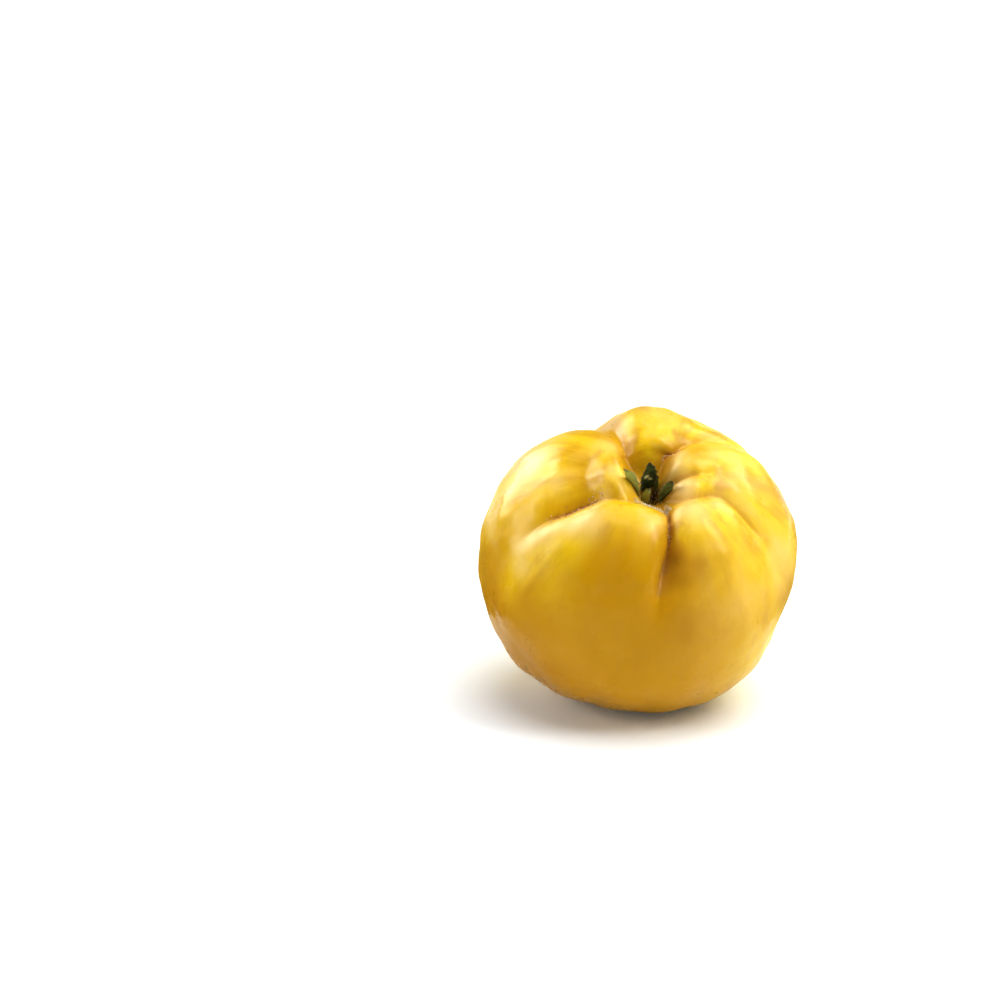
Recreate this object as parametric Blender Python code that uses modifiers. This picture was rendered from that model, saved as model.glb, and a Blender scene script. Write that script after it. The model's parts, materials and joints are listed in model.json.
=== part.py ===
"""A ripe quince, resting on the small flat spot beside its stem cavity, with its dried calyx up.

Everything is built about the core axis: local +Z runs from the stem cavity to the eye, the basin
that holds the calyx. The empty core_axis holds that frame. It tilts the axis forwards and lifts it,
so that the flat spot lies in the plane z = 0, under the middle of the fruit.

World axes: +Z up, -Y the fruit's front, +X its right. Units are metres.
"""

import math
import random
from collections import namedtuple

import bmesh
import bpy
import numpy as np
from mathutils import Matrix, Vector

MM = 0.001

# The body: half an ellipsoid towards the eye and half a slightly longer one towards the stem
RADIUS = 45.5 * MM
EYE_HEIGHT = 41.0 * MM
STEM_HEIGHT = 43.4 * MM

# How it rests: the middle's height above the surface, and the core axis's lean from upright
MIDDLE_HEIGHT = 41.0 * MM
LEAN_FRONT = math.radians(34)
LEAN_RIGHT = math.radians(5.5)

# Hollows at each end, each a bell of this radius and depth, and how steep its wall is. The wide one
# is a funnel to the deep one.
Hollow = namedtuple("Hollow", "radius depth steepness")
EYE_HOLLOWS = (Hollow(13.0 * MM, 3.5 * MM, 2.0), Hollow(7.2 * MM, 11.0 * MM, 2.3))
STEM_HOLLOWS = (Hollow(14.0 * MM, 4.0 * MM, 2.0), Hollow(7.0 * MM, 8.5 * MM, 2.0))

# Furrows between the lobes, as stations from the eye outwards: polar angle from the eye and azimuth from
# the right (+X) towards the back (+Y) in degrees, then in mm the depth, and the half widths on the
# smaller and larger azimuth side. round is how rounded the floor is.
Furrow = namedtuple("Furrow", "stations round")
BACK_RIGHT = Furrow((
    (4, 72, 0.0, 1.5, 1.5),
    (7, 73, 2.2, 2.0, 2.0),
    (11, 71, 3.8, 2.4, 2.6),
    (17, 63, 4.0, 2.8, 3.4),
    (23, 58, 3.6, 3.0, 3.6),
    (34, 48, 2.6, 4.0, 4.4),
    (48, 42, 2.0, 5.0, 5.0),
    (64, 38, 0.8, 6.0, 6.0),
    (80, 36, 0.0, 6.0, 6.0),
), 0.20)
BACK_LEFT = Furrow((
    (4, 132, 0.0, 2.0, 2.0),
    (8, 130, 2.6, 2.4, 2.6),
    (13, 126, 4.4, 2.8, 3.4),
    (20, 121, 5.0, 3.2, 5.0),
    (30, 116, 5.4, 3.6, 7.0),
    (42, 112, 5.8, 4.2, 9.0),
    (56, 111, 6.8, 5.0, 11.0),
    (68, 112, 6.0, 6.0, 12.0),
    (84, 114, 2.6, 8.0, 14.0),
    (104, 116, 0.0, 9.0, 15.0),
), 0.20)
LEFT = Furrow((
    (8, 236, 0.0, 2.0, 2.0),
    (11, 230, 1.4, 2.6, 2.2),
    (14, 222, 2.0, 3.4, 2.4),
    (17, 213, 2.4, 4.0, 2.6),
    (21, 205, 3.4, 4.6, 2.8),
    (28, 200, 4.8, 5.6, 3.0),
    (37, 198, 4.8, 6.6, 3.0),
    (46, 197, 3.4, 7.0, 3.2),
    (56, 198, 1.6, 7.0, 4.0),
    (72, 200, 0.0, 7.0, 6.0),
), 0.15)
FRONT = Furrow((
    (6, 291, 0.0, 1.0, 1.0),
    (10, 290, 2.4, 2.4, 2.2),
    (14, 288, 3.0, 2.8, 2.4),
    (20, 285, 3.6, 2.8, 2.8),
    (30, 280, 4.4, 2.4, 3.8),
    (38, 276, 4.4, 2.2, 4.8),
    (46, 273, 2.8, 2.6, 4.4),
    (56, 272, 0.8, 3.0, 3.0),
    (68, 272, 0.0, 4.0, 4.0),
), 0.12)
RIGHT = Furrow((
    (6, 308, 0.0, 1.0, 1.0),
    (11, 318, 1.8, 1.8, 1.8),
    (15, 331, 2.5, 2.6, 2.4),
    (19, 343, 2.6, 3.0, 2.8),
    (24, 349, 2.3, 3.4, 3.4),
    (31, 348, 2.6, 3.4, 3.6),
    (41, 345, 2.8, 3.8, 4.4),
    (52, 341, 2.1, 4.6, 6.0),
    (66, 339, 1.0, 6.0, 8.0),
    (88, 338, 0.0, 9.0, 12.0),
), 0.20)
SMALL = Furrow((
    (5, 4, 0.0, 1.0, 1.0),
    (8, 7, 2.0, 1.8, 2.0),
    (12, 8, 2.8, 2.2, 2.4),
    (17, 10, 2.0, 2.6, 3.0),
    (26, 12, 0.0, 3.0, 4.0),
), 0.15)
FURROWS = (BACK_RIGHT, BACK_LEFT, LEFT, FRONT, RIGHT, SMALL)

# Swellings and flats: azimuth and polar angle of the middle, angular radius, height in mm
Swell = namedtuple("Swell", "azimuth polar spread height")
SWELLS = (
    Swell(92, 38, 18, 0.9),
    Swell(92, 13, 9, -1.6),
    Swell(184, 12, 9, 1.6),
    Swell(170, 27, 6.5, -1.8),
    Swell(188, 24, 5, -0.8),
    Swell(333, 46, 6, -1.0),
    Swell(250, 13, 10, -0.5),
    Swell(352, 10, 7, 2.0),
    Swell(243, 30, 18, 0.8),
    Swell(308, 26, 13, 1.0),
    Swell(38, 10, 8, 2.6),
    Swell(28, 26, 12, 1.0),
    Swell(62, 50, 12, -1.2),
    Swell(38, 52, 16, 1.0),
    Swell(8, 72, 16, 1.2),
    Swell(214, 122, 24, 1.0),
    Swell(337, 92, 14, -1.2),
    Swell(308, 110, 16, 1.0),
    Swell(262, 130, 18, -1.4),
)

# The polar angle within which the eye's floor and lower walls lie
EYE_SPAN = 14.0

# Folds that run into the stem cavity
STEM_FOLDS = 5
STEM_FOLD_DEPTH = 1.1 * MM
STEM_FOLD_SPAN = (138, 162, 172, 179)

# Mesh of the body: meridians, rings, and how far the rings crowd towards the two ends
MERIDIANS = 80
RINGS = 56
RING_CROWDING = 0.34

# Clearance that each piece keeps from the flesh that it grew from. A sepal is wide, and the floor under
# it slopes, so it stands a little higher.
GAP = 0.4 * MM
SEPAL_GAP = 0.66 * MM

# The stem stub: its thickness along its length, from the rounded foot to the flared cut end
STEM_LENGTH = 10.0 * MM
STEM_RADIUS = 2.7 * MM
STEM_BEND = 0.9 * MM
STEM_TAPER = ((0.0, 0.45), (0.05, 0.75), (0.14, 0.98), (0.35, 0.95), (0.6, 0.9), (0.85, 1.0), (1.0, 1.12))

# Sepals: azimuth, length, half width, and how far the tip stands out from the foot
Sepal = namedtuple("Sepal", "name azimuth length half_width spread")
SEPALS = (
    Sepal("sepal_left", 187, 12.0 * MM, 1.8 * MM, 2.6 * MM),
    Sepal("sepal_front", 228, 5.2 * MM, 1.3 * MM, -0.6 * MM),
    Sepal("sepal_right", 320, 10.0 * MM, 1.6 * MM, 1.2 * MM),
    Sepal("sepal_back_right", 60, 6.4 * MM, 1.0 * MM, 0.2 * MM),
    Sepal("sepal_back", 112, 10.8 * MM, 2.1 * MM, 0.6 * MM),
)
SEPAL_RING = 3.1 * MM
SEPAL_THICKNESS = 0.5 * MM
SEPAL_HALF_TURN = 0.4

# The dried styles in the middle of the eye, and the ring of dried stamens round them
Thread = namedtuple("Thread", "name count phase ring length radius splay")
STYLE = Thread("style_{}", 5, 0.5, 0.9 * MM, 3.6 * MM, 0.32 * MM, (0.1 * MM, 0.4 * MM))
STAMEN = Thread("stamen_{:02d}", 12, 0.25, 2.0 * MM, 3.0 * MM, 0.22 * MM, (-0.2 * MM, 0.25 * MM))

SEED = 7


def clear_scene():
    for obj in list(bpy.data.objects):
        bpy.data.objects.remove(obj, do_unlink=True)


def material(name, colour, roughness):
    made = bpy.data.materials.new(name)
    made.use_nodes = True
    shader = made.node_tree.nodes["Principled BSDF"]
    shader.inputs["Base Color"].default_value = (*colour, 1.0)
    shader.inputs["Roughness"].default_value = roughness
    shader.inputs["Metallic"].default_value = 0.0
    return made


# ---------------------------------------------------------------- the fruit's surface as a formula


def ramp(value, low, high):
    """0 below low, 1 above high, and smooth between."""
    step = np.clip((value - low) / (high - low), 0.0, 1.0)
    return step * step * (3.0 - 2.0 * step)


def window(polar, span):
    """Rises from span[0] to span[1], and falls from span[2] to span[3]."""
    return ramp(polar, span[0], span[1]) * (1.0 - ramp(polar, span[2], span[3]))


def bell(across, hollow):
    return hollow.depth * np.exp(-((across / hollow.radius) ** hollow.steepness))


def profile(polar):
    """(distance from the core axis, height along it) of the plain turned body."""
    across = RADIUS * np.abs(np.sin(polar))
    eye_half = np.cos(polar) > 0.0
    height = np.where(eye_half, EYE_HEIGHT, STEM_HEIGHT) * np.cos(polar)
    for hollow in EYE_HOLLOWS:
        height -= eye_half * bell(across, hollow)
    for hollow in STEM_HOLLOWS:
        height += ~eye_half * bell(across, hollow)
    return across, height


def profile_normal(polar):
    """The outward normal of the turned body, as (across, height)."""
    step = 1e-4
    across_1, height_1 = profile(np.minimum(polar + step, math.pi))
    across_0, height_0 = profile(np.maximum(polar - step, 0.0))
    length = np.hypot(across_1 - across_0, height_1 - height_0)
    return (height_0 - height_1) / length, (across_1 - across_0) / length


def smooth_path(value, stations, column):
    """A cubic curve through one column of the stations, held level past both ends."""
    table = np.array(stations, float)
    spots, heights = table[:, 0], table[:, column]
    slopes = np.gradient(heights, spots)
    slopes[0] = slopes[-1] = 0.0
    value = np.clip(value, spots[0], spots[-1])
    index = np.clip(np.searchsorted(spots, value, side="right") - 1, 0, len(spots) - 2)
    gap = spots[index + 1] - spots[index]
    step = (value - spots[index]) / gap
    start = (1 + 2 * step) * heights[index] + step * gap * slopes[index]
    end = (3 - 2 * step) * heights[index + 1] - (1 - step) * gap * slopes[index + 1]
    return (1 - step) ** 2 * start + step**2 * end


def furrow_relief(furrow, polar_degrees, azimuth_degrees, across):
    """How far the furrow sinks the skin."""
    middle = smooth_path(polar_degrees, furrow.stations, 1)
    turn = (azimuth_degrees - middle + 180.0) % 360.0 - 180.0
    aside = np.radians(turn) * across
    depth = np.maximum(smooth_path(polar_degrees, furrow.stations, 2), 0.0) * MM
    before = smooth_path(polar_degrees, furrow.stations, 3)
    after = smooth_path(polar_degrees, furrow.stations, 4)
    half_width = np.where(aside < 0.0, before, after) * MM
    reach = np.sqrt((aside / half_width) ** 2 + furrow.round**2) - furrow.round
    return -depth * np.exp(-(reach**1.15))


def swell_relief(swell, polar, azimuth):
    middle = math.radians(swell.polar)
    turn = azimuth - math.radians(swell.azimuth)
    cosine = np.sin(polar) * math.sin(middle) * np.cos(turn) + np.cos(polar) * math.cos(middle)
    away = np.degrees(np.arccos(np.clip(cosine, -1.0, 1.0)))
    return swell.height * MM * np.exp(-((away / swell.spread) ** 2))


def surface(polar, azimuth):
    """Points of the skin in the core axis's frame, from arrays of angles in radians."""
    across, height = profile(polar)
    out_across, out_height = profile_normal(polar)
    polar_degrees = np.degrees(polar)
    azimuth_degrees = np.degrees(azimuth)
    relief = np.zeros_like(polar)
    for furrow in FURROWS:
        relief += furrow_relief(furrow, polar_degrees, azimuth_degrees, across)
    for swell in SWELLS:
        relief += swell_relief(swell, polar, azimuth)
    relief *= ramp(polar_degrees, 1.0, 8.0)
    folds = (0.5 + 0.5 * np.cos(STEM_FOLDS * azimuth)) ** 3
    relief -= STEM_FOLD_DEPTH * folds * window(polar_degrees, STEM_FOLD_SPAN)
    across = np.maximum(across + out_across * relief, 0.0)
    height = height + out_height * relief
    return np.stack([across * np.cos(azimuth), across * np.sin(azimuth), height], axis=-1)


def eye_height(ring, azimuth):
    """Height of the basin's floor at this distance from the core axis."""
    polar = np.radians(np.linspace(0.0, EYE_SPAN, 60))
    points = surface(polar, np.full_like(polar, azimuth))
    return float(np.interp(ring, np.hypot(points[:, 0], points[:, 1]), points[:, 2]))


# --------------------------------------------------------------------------------- the sub-parts


def core_axis_empty(collection):
    """The frame that every piece is built in, leaned and lifted as the fruit rests."""
    across = math.sin(LEAN_RIGHT)
    front = -math.sin(LEAN_FRONT) * math.cos(LEAN_RIGHT)
    up = Vector((across, front, math.cos(LEAN_FRONT) * math.cos(LEAN_RIGHT)))
    right = (Vector((1.0, 0.0, 0.0)) - up * up.x).normalized()
    rotation = Matrix((right, up.cross(right), up)).transposed()
    empty = bpy.data.objects.new("core_axis", None)
    empty.empty_display_size = RADIUS
    empty.matrix_world = Matrix.Translation((0.0, 0.0, MIDDLE_HEIGHT)) @ rotation.to_4x4()
    collection.objects.link(empty)
    return empty


def add_piece(name, data, core, collection, finish):
    piece = bpy.data.objects.new(name, data)
    data.materials.append(finish)
    collection.objects.link(piece)
    piece.parent = core
    return piece


def make_fruit(core, collection, finish):
    """The whole fruit as one solid: a sphere drawn onto the formula, then flattened where it rests."""
    cage = bmesh.new()
    bmesh.ops.create_uvsphere(cage, u_segments=MERIDIANS, v_segments=RINGS, radius=1.0)
    mesh = bpy.data.meshes.new("fruit")
    cage.to_mesh(mesh)
    cage.free()
    points = np.empty(len(mesh.vertices) * 3)
    mesh.vertices.foreach_get("co", points)
    points = points.reshape(-1, 3)
    even = np.arccos(np.clip(points[:, 2], -1.0, 1.0))
    polar = even - RING_CROWDING * np.sin(2.0 * even)
    azimuth = np.arctan2(points[:, 1], points[:, 0]) % math.tau
    to_world = np.array(core.matrix_world)
    world = surface(polar, azimuth) @ to_world[:3, :3].T + to_world[:3, 3]
    world[:, 2] = np.maximum(world[:, 2], 0.0)
    mesh.vertices.foreach_set("co", world.ravel())
    mesh.transform(core.matrix_world.inverted())
    mesh.shade_smooth()
    mesh.update()
    return add_piece("fruit", mesh, core, collection, finish)


def make_tube(name, stations, core, collection, finish, bevel_resolution):
    """A round tapered piece through (x, y, z, radius) stations."""
    curve = bpy.data.curves.new(name, "CURVE")
    curve.dimensions = "3D"
    curve.bevel_depth = 1.0
    curve.bevel_resolution = bevel_resolution
    curve.use_fill_caps = True
    spline = curve.splines.new("POLY")
    spline.points.add(len(stations) - 1)
    for point, (x, y, z, radius) in zip(spline.points, stations):
        point.co = (x, y, z, 1.0)
        point.radius = radius
    return add_piece(name, curve, core, collection, finish)


def make_stem(core, collection, finish):
    """The short woody stub in the stem cavity, with a rounded foot and a flared cut end."""
    foot = float(surface(np.array([math.pi]), np.array([0.0]))[0, 2]) - GAP
    stations = []
    for along, thickness in STEM_TAPER:
        bend = STEM_BEND * along**2
        stations.append((bend, -0.5 * bend, foot - STEM_LENGTH * along, STEM_RADIUS * thickness))
    return make_tube("stem", stations, core, collection, finish, bevel_resolution=4)


def make_sepal(sepal, core, collection, finish):
    """A thin leaf, cupped about the core axis, standing on the floor of the eye."""
    azimuth = math.radians(sepal.azimuth)
    outer_face = SEPAL_RING + 0.5 * SEPAL_THICKNESS
    floor = max(eye_height(outer_face, azimuth + turn) for turn in (-SEPAL_HALF_TURN, 0.0, SEPAL_HALF_TURN))
    foot = floor + SEPAL_GAP
    cage = bmesh.new()
    bmesh.ops.create_grid(cage, x_segments=4, y_segments=7, size=1.0)
    for vertex in cage.verts:
        along = 0.5 + 0.5 * vertex.co.y
        half_width = sepal.half_width * (0.12 + math.sqrt(1.0 - along) * (0.5 + 0.9 * along))
        ring = SEPAL_RING + sepal.spread * along**1.5
        turn = vertex.co.x * half_width / ring
        vertex.co = (ring * math.cos(turn), ring * math.sin(turn), sepal.length * along)
    mesh = bpy.data.meshes.new(sepal.name)
    cage.to_mesh(mesh)
    cage.free()
    mesh.shade_smooth()
    piece = add_piece(sepal.name, mesh, core, collection, finish)
    piece.location = (0.0, 0.0, foot)
    piece.rotation_euler = (0.0, 0.0, azimuth)
    shell = piece.modifiers.new("thickness", "SOLIDIFY")
    shell.thickness = SEPAL_THICKNESS
    shell.offset = 0.0
    return piece


def make_thread(name, azimuth, thread, length, splay, core, collection, finish):
    """A dried style or stamen: a thin thread that stands on the eye's floor and splays a little."""
    foot = eye_height(thread.ring + thread.radius, azimuth) + GAP
    stations = []
    for along in (0.0, 0.35, 0.7, 1.0):
        outward = thread.ring + splay * along**2
        radius = thread.radius * (1.0 - 0.4 * along)
        stations.append((outward, 0.3 * splay * along, foot + length * along, radius))
    piece = make_tube(name, stations, core, collection, finish, bevel_resolution=1)
    piece.rotation_euler = (0.0, 0.0, azimuth)
    return piece


def make_threads(thread, core, collection, finish, rng):
    """A ring of like threads, each with its own length and splay."""
    for index in range(thread.count):
        azimuth = math.tau * (index + thread.phase) / thread.count
        splay = rng.uniform(*thread.splay)
        length = thread.length * rng.uniform(0.8, 1.15)
        name = thread.name.format(index + 1)
        make_thread(name, azimuth, thread, length, splay, core, collection, finish)


def main():
    clear_scene()
    rng = random.Random(SEED)
    collection = bpy.data.collections.new("quince")
    bpy.context.scene.collection.children.link(collection)
    core = core_axis_empty(collection)
    skin = material("quince_skin", (0.78, 0.46, 0.02), 0.32)
    wood = material("stem_wood", (0.16, 0.085, 0.035), 0.8)
    sepal_green = material("sepal_green", (0.055, 0.085, 0.02), 0.6)
    dried = material("dried_threads", (0.09, 0.045, 0.02), 0.75)

    make_fruit(core, collection, skin)
    make_stem(core, collection, wood)
    for sepal in SEPALS:
        make_sepal(sepal, core, collection, sepal_green)
    make_threads(STYLE, core, collection, dried, rng)
    make_threads(STAMEN, core, collection, dried, rng)


main()
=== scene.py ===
"""Looks of the quince: its waxy skin, furrows, calyx and stem, in a plain bright studio.

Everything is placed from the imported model's rest_spot mount and built about the core axis, as the CAD is:
local +Z runs from the stem cavity to the eye. Azimuth turns from +X towards +Y, and the polar angle is
measured from the eye. Units are metres.
"""

import json
import math
import random
from collections import namedtuple

import bmesh
import bpy
import numpy as np
from mathutils import Matrix, Vector


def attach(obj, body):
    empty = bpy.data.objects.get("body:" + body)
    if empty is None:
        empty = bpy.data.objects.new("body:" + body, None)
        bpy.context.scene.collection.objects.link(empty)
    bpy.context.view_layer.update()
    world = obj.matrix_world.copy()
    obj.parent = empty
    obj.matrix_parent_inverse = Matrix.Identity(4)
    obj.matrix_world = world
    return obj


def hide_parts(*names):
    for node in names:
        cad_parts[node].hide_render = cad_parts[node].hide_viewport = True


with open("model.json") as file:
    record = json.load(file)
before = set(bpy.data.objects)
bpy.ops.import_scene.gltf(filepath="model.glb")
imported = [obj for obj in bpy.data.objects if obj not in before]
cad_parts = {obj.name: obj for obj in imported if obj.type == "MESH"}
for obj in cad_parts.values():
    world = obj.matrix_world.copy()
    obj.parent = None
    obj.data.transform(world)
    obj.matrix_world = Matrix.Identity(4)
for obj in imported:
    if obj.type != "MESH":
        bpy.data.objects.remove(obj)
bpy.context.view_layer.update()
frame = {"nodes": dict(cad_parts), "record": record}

MM = 0.001
SEED = 11

# ------------------------------------------------------------------- the fruit's driving dimensions

RADIUS = 45.5 * MM
EYE_HEIGHT = 41.0 * MM
STEM_HEIGHT = 43.4 * MM
MIDDLE_HEIGHT = 41.0 * MM
LEAN_FRONT = math.radians(34)
LEAN_RIGHT = math.radians(5.5)

# Hollows at each end: radius, depth, and how steep the wall is
Hollow = namedtuple("Hollow", "radius depth steepness")
EYE_HOLLOWS = (Hollow(13.0 * MM, 3.5 * MM, 2.0), Hollow(7.2 * MM, 11.0 * MM, 2.3))
STEM_HOLLOWS = (Hollow(14.0 * MM, 4.0 * MM, 2.0), Hollow(7.0 * MM, 8.5 * MM, 2.0))

# Furrows, as stations from the eye outwards: polar angle and azimuth in degrees, then in mm the valley's
# depth, its half widths on the smaller and larger azimuth side, and the depth of the crease in its floor.
# round is how rounded that floor is. russet holds the polar angles where its brown corking, if it has
# any, starts, is full, begins to fade and ends.
Furrow = namedtuple("Furrow", "stations round russet")
BACK_RIGHT = Furrow((
    (4, 72, 0.0, 1.5, 1.5, 0.0),
    (7, 73, 2.2, 2.0, 2.0, 0.2),
    (11, 71, 3.8, 2.4, 2.6, 0.4),
    (17, 63, 4.0, 2.8, 3.4, 0.6),
    (23, 58, 3.6, 3.0, 3.6, 0.5),
    (34, 48, 2.6, 4.0, 4.4, 0.2),
    (48, 42, 2.0, 5.0, 5.0, 0.0),
    (64, 38, 0.8, 6.0, 6.0, 0.0),
    (80, 36, 0.0, 6.0, 6.0, 0.0),
), 0.20, (8, 12, 15, 24))
BACK_LEFT = Furrow((
    (4, 132, 0.0, 2.0, 2.0, 0.0),
    (8, 130, 2.6, 2.4, 2.6, 0.1),
    (13, 126, 4.4, 2.8, 3.4, 0.2),
    (20, 121, 5.0, 3.2, 5.0, 0.3),
    (30, 116, 5.4, 3.6, 7.0, 0.2),
    (42, 112, 5.8, 4.2, 9.0, 0.0),
    (56, 111, 6.8, 5.0, 11.0, 0.0),
    (68, 112, 6.0, 6.0, 12.0, 0.0),
    (84, 114, 2.6, 8.0, 14.0, 0.0),
    (104, 116, 0.0, 9.0, 15.0, 0.0),
), 0.20, None)
LEFT = Furrow((
    (8, 236, 0.0, 2.0, 2.0, 0.0),
    (11, 230, 1.4, 2.6, 2.2, 0.2),
    (14, 222, 2.0, 3.4, 2.4, 0.2),
    (17, 213, 2.4, 4.0, 2.6, 0.2),
    (21, 205, 3.4, 4.6, 2.8, 0.2),
    (28, 200, 4.8, 5.6, 3.0, 0.3),
    (37, 198, 4.8, 6.6, 3.0, 0.4),
    (46, 197, 3.4, 7.0, 3.2, 0.3),
    (56, 198, 1.6, 7.0, 4.0, 0.0),
    (72, 200, 0.0, 7.0, 6.0, 0.0),
), 0.15, (20, 25, 40, 48))
FRONT = Furrow((
    (6, 291, 0.0, 1.0, 1.0, 0.0),
    (10, 290, 2.4, 2.4, 2.2, 0.6),
    (14, 288, 3.0, 2.8, 2.4, 1.0),
    (20, 285, 3.6, 2.8, 2.8, 1.1),
    (30, 280, 4.4, 2.4, 3.8, 0.9),
    (38, 276, 4.4, 2.2, 4.8, 0.4),
    (46, 273, 2.8, 2.6, 4.4, 0.0),
    (56, 272, 0.8, 3.0, 3.0, 0.0),
    (68, 272, 0.0, 4.0, 4.0, 0.0),
), 0.12, (9, 12, 27, 37))
RIGHT = Furrow((
    (6, 308, 0.0, 1.0, 1.0, 0.0),
    (11, 318, 1.8, 1.8, 1.8, 0.3),
    (15, 331, 2.5, 2.6, 2.4, 0.4),
    (19, 343, 2.6, 3.0, 2.8, 0.3),
    (24, 349, 2.3, 3.4, 3.4, 0.4),
    (31, 348, 2.6, 3.4, 3.6, 0.7),
    (41, 345, 2.8, 3.8, 4.4, 0.6),
    (52, 341, 2.1, 4.6, 6.0, 0.0),
    (66, 339, 1.0, 6.0, 8.0, 0.0),
    (88, 338, 0.0, 9.0, 12.0, 0.0),
), 0.20, None)
SMALL = Furrow((
    (5, 4, 0.0, 1.0, 1.0, 0.0),
    (8, 7, 2.0, 1.8, 2.0, 0.3),
    (12, 8, 2.8, 2.2, 2.4, 0.4),
    (17, 10, 2.0, 2.6, 3.0, 0.2),
    (26, 12, 0.0, 3.0, 4.0, 0.0),
), 0.15, None)
FURROWS = (BACK_RIGHT, BACK_LEFT, LEFT, FRONT, RIGHT, SMALL)
# How far each reaches on either side of a furrow's line, and the polar angles between which the scar lies
CREASE_WIDTH = 0.7 * MM
RUSSET_WIDTH = 0.55 * MM
SCAR_WIDTH = 1.5 * MM
SCAR_SPAN = (31, 37, 45, 50)

# Where dry flakes lie in the furrows: the polar angles between which they are strewn, how many there are, and
# in mm how far from the furrow's floor their line runs and how wide it is
Strew = namedtuple("Strew", "furrow start end count aside reach")
STREWS = (
    Strew(LEFT, 19.5, 27, 22, -2.0, 1.1),
    Strew(LEFT, 24, 46, 60, 0.8, 0.9),
    Strew(FRONT, 17, 28, 12, 0.0, 0.3),
    Strew(BACK_RIGHT, 10, 22, 10, 0.0, 0.4),
)

# Swellings and flats: azimuth and polar angle of the middle, angular radius, height in mm
Swell = namedtuple("Swell", "azimuth polar spread height")
SWELLS = (
    Swell(92, 38, 18, 0.9),
    Swell(92, 13, 9, -1.6),
    Swell(184, 12, 9, 1.6),
    Swell(170, 27, 6.5, -1.8),
    Swell(188, 24, 5, -0.8),
    Swell(333, 46, 6, -1.0),
    Swell(250, 13, 10, -0.5),
    Swell(352, 10, 7, 2.0),
    Swell(243, 30, 18, 0.8),
    Swell(308, 26, 13, 1.0),
    Swell(38, 10, 8, 2.6),
    Swell(28, 26, 12, 1.0),
    Swell(62, 50, 12, -1.2),
    Swell(38, 52, 16, 1.0),
    Swell(8, 72, 16, 1.2),
    Swell(214, 122, 24, 1.0),
    Swell(337, 92, 14, -1.2),
    Swell(308, 110, 16, 1.0),
    Swell(262, 130, 18, -1.4),
)

# Patches of colour, each strongest in its middle: azimuth and polar angle of the middle, angular radius and
# strength. They paint light and shade into the skin, as each table below says.
Patch = namedtuple("Patch", "azimuth polar spread strength")
# Painted shade: more amber where less light falls, in dents, near the eye, along the left edge and low down
SHADE_PATCHES = (
    Patch(170, 27, 7, 0.9),
    Patch(188, 24, 5, 0.5),
    Patch(258, 29, 6, 0.2),
    Patch(253, 46, 14, 0.5),
    Patch(297, 37, 9, 0.9),
    Patch(336, 76, 11, 0.8),
    Patch(300, 66, 16, 0.4),
    Patch(282, 31, 4, 0.8),
    Patch(36, 21, 6, 0.5),
    Patch(0, 26, 5, 0.5),
    Patch(334, 46, 4, 0.8),
    Patch(240, 88, 26, 0.6),
    Patch(198, 88, 12, 0.5),
    Patch(234, 116, 20, 0.5),
    Patch(270, 66, 16, 0.3),
    Patch(122, 14, 7, 0.6),
    Patch(66, 16, 5, 0.5),
    Patch(60, 100, 16, 0.4),
    Patch(130, 96, 14, 0.4),
)
# Painted light: these take the painted amber shade of the near left side away where light falls
LIT_PATCHES = (
    Patch(208, 64, 8, 1.0),
    Patch(209, 75, 7, 0.7),
    Patch(215, 54, 7, 0.7),
    Patch(218, 42, 8, 0.7),
    Patch(225, 60, 10, 0.4),
)
# Painted shade in ochre brown: beside the furrows, near the eye and low on the near left
BROWN_SHADE_PATCHES = (
    Patch(282, 34, 4, 0.65),
    Patch(283, 42, 4.5, 0.45),
    Patch(281, 24, 2.5, 0.4),
    Patch(283, 60, 10, 0.2),
    Patch(292, 40, 5, 0.25),
    Patch(125, 13, 5, 0.4),
    Patch(68, 14, 4, 0.4),
    Patch(186, 26, 4, 0.3),
    Patch(205, 15, 3, 0.4),
    Patch(224, 106, 22, 0.55),
)
# Painted highlights: paler where the wax catches the light
HIGHLIGHT_PATCHES = (
    Patch(152, 58, 12, 0.8),
    Patch(163, 50, 7, 0.8),
    Patch(172, 61, 5, 0.6),
    Patch(177, 38, 5, 0.6),
    Patch(178, 16, 4, 0.5),
    Patch(267, 20, 4, 0.6),
    Patch(308, 22, 6, 0.55),
    Patch(298, 16, 3.5, 0.9),
    Patch(316, 19, 4, 0.5),
    Patch(352, 11, 3.5, 0.9),
    Patch(54, 15, 3, 0.8),
    Patch(7, 34, 10, 0.5),
    Patch(342, 25, 5, 0.5),
    Patch(342, 66, 14, 0.5),
    Patch(219, 31, 6, 0.9),
    Patch(208, 63, 5, 0.6),
    Patch(213, 38, 4, 0.7),
    Patch(204, 20, 3, 0.6),
    Patch(32, 10.5, 4, 0.8),
    Patch(330, 12, 4, 0.7),
    Patch(206, 41, 3.5, 0.7),
    Patch(204, 47, 4, 0.8),
    Patch(202, 54, 4, 0.8),
    Patch(201, 60, 3.5, 0.6),
    Patch(312, 58, 12, 0.3),
    Patch(140, 24, 6, 0.5),
    Patch(92, 62, 16, 0.5),
    Patch(84, 34, 9, 0.5),
    Patch(215, 54, 6, 0.2),
    Patch(30, 80, 14, 0.4),
    Patch(110, 120, 16, 0.4),
)

# The puckers round the stem: how many, how deep, and the polar angles over which they rise and fade
STEM_FOLDS = 5
STEM_FOLD_DEPTH = 1.1 * MM
STEM_FOLD_SPAN = (138, 162, 172, 179)

# Unevenness of the skin: wavelength and height of each layer
LUMPS = ((17.0 * MM, 0.18 * MM), (7.0 * MM, 0.05 * MM))
RIB_COUNTS = (11, 17, 23, 31)
RIB_HEIGHT = 0.03 * MM
RIB_SPAN = (14, 36, 70, 120)
WRINKLE_LENGTH = 1.6 * MM
WRINKLE_HEIGHT = 0.14 * MM

# The polar angle within which the eye's floor and lower walls lie
EYE_SPAN = 14.0

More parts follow.
